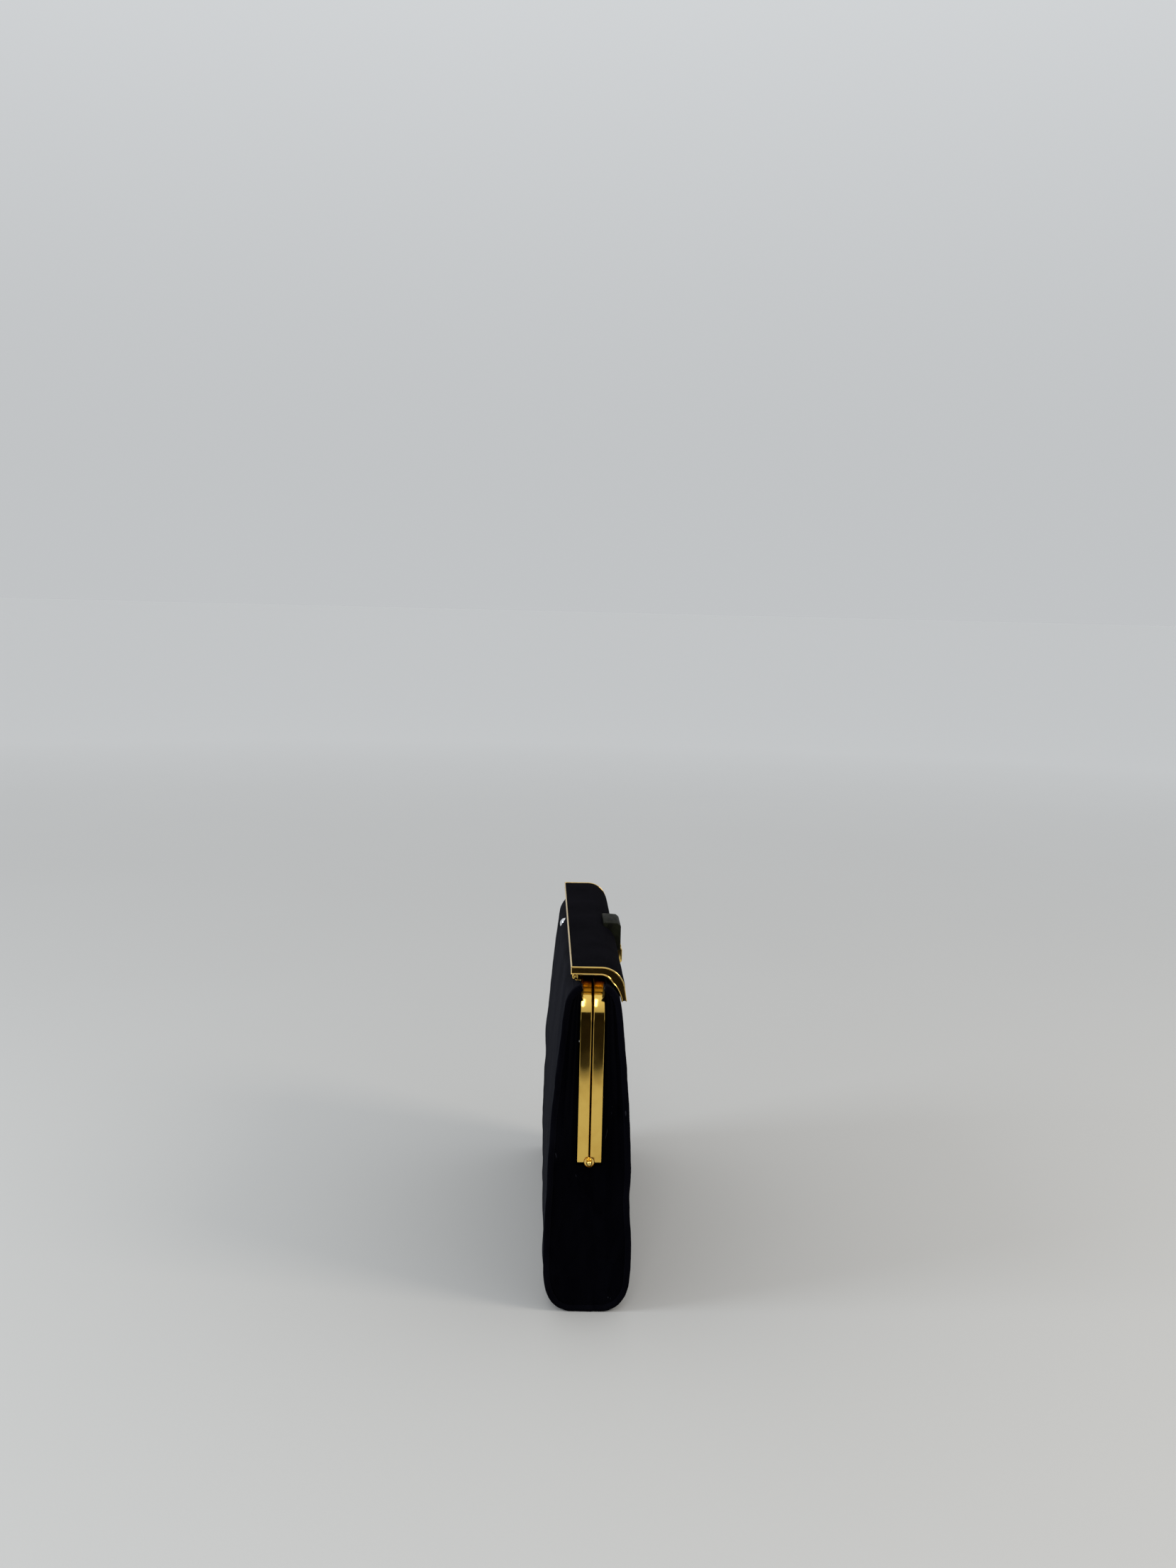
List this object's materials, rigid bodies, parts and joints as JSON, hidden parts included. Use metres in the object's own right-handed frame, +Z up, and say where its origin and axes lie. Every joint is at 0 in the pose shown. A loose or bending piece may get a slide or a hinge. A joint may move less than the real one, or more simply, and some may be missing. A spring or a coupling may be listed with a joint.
{
  "type": "clutch purse",
  "caption": "Slim framed clutch purse: black velvet pouch between two hinged gold frame halves, with a rigid curved flap lined with a gold plate, gold rim and lift-up clasp.",
  "frame": {"origin": "on the surface the purse stands on, under the middle of its bottom", "axes": "+X along the purse's length, +Z up; the front, with the clasp, faces -Y"},
  "size_m": [0.2284, 0.0434, 0.1756],
  "materials": {
    "velvet": "short-pile velvet, almost black, sheen at a slant",
    "trim": "velvet rolled over a cord",
    "lining": "satin lining",
    "board": "pressed leatherboard stiffener",
    "gold": "polished gold-coloured plating",
    "gold_small": "polished gold-coloured rivets and pins",
    "shell": "moulded stiffener",
    "flap_cloth": "ribbed dull cloth",
    "block": "polished, black with a slight olive tint",
    "stud": "polished dome"
  },
  "bodies": {
    "rear_half": {"body_cover": "velvet", "left_gusset": "velvet", "right_gusset": "velvet", "front_fold": "velvet", "left_piping": "trim", "right_piping": "trim", "rear_board": "board", "bottom_board": "board", "front_lower_board": "board", "body_lining": "lining", "slip_pocket": "lining", "rear_frame": "gold", "hinge_rivets": "gold_small", "rivet_washers": "gold_small", "rear_hinge_leaf": "gold", "flap_hinge_pin": "gold_small", "rear_stud": "stud"},
    "front_half": {"front_frame": "gold", "front_cover": "velvet", "front_left_gusset": "velvet", "front_right_gusset": "velvet", "front_left_piping": "trim", "front_right_piping": "trim", "front_board": "board", "front_lining": "lining", "keeper_plate": "gold", "keeper_rivets": "gold_small"},
    "flap": {"flap_rim": "gold", "flap_cover": "flap_cloth", "flap_shell": "shell", "flap_lining": "gold", "flap_hinge_leaf": "gold", "clasp_block": "block", "lever_pin": "gold_small"},
    "lever": {"clasp_lever": "gold"}
  },
  "joints": [
    {"name": "flap_open", "type": "hinge", "parent": "rear_half", "child": "flap", "pos_m": [0, 0.009, 0.1685], "axis": [-1, 0, 0], "range_deg": [0, 120]},
    {"name": "frame_open", "type": "hinge", "parent": "rear_half", "child": "front_half", "pos_m": [0, 0, 0.0754], "axis": [1, 0, 0], "range_deg": [0, 30], "deforming": ["front_fold"]},
    {"name": "clasp_lift", "type": "hinge", "parent": "flap", "child": "lever", "pos_m": [0, -0.0176, 0.1612], "axis": [-1, 0, 0], "range_deg": [0, 60]}
  ],
  "couplings": [
    {"joint": "frame_open", "follows": "flap_open", "ratio": 0.25}
  ]
}
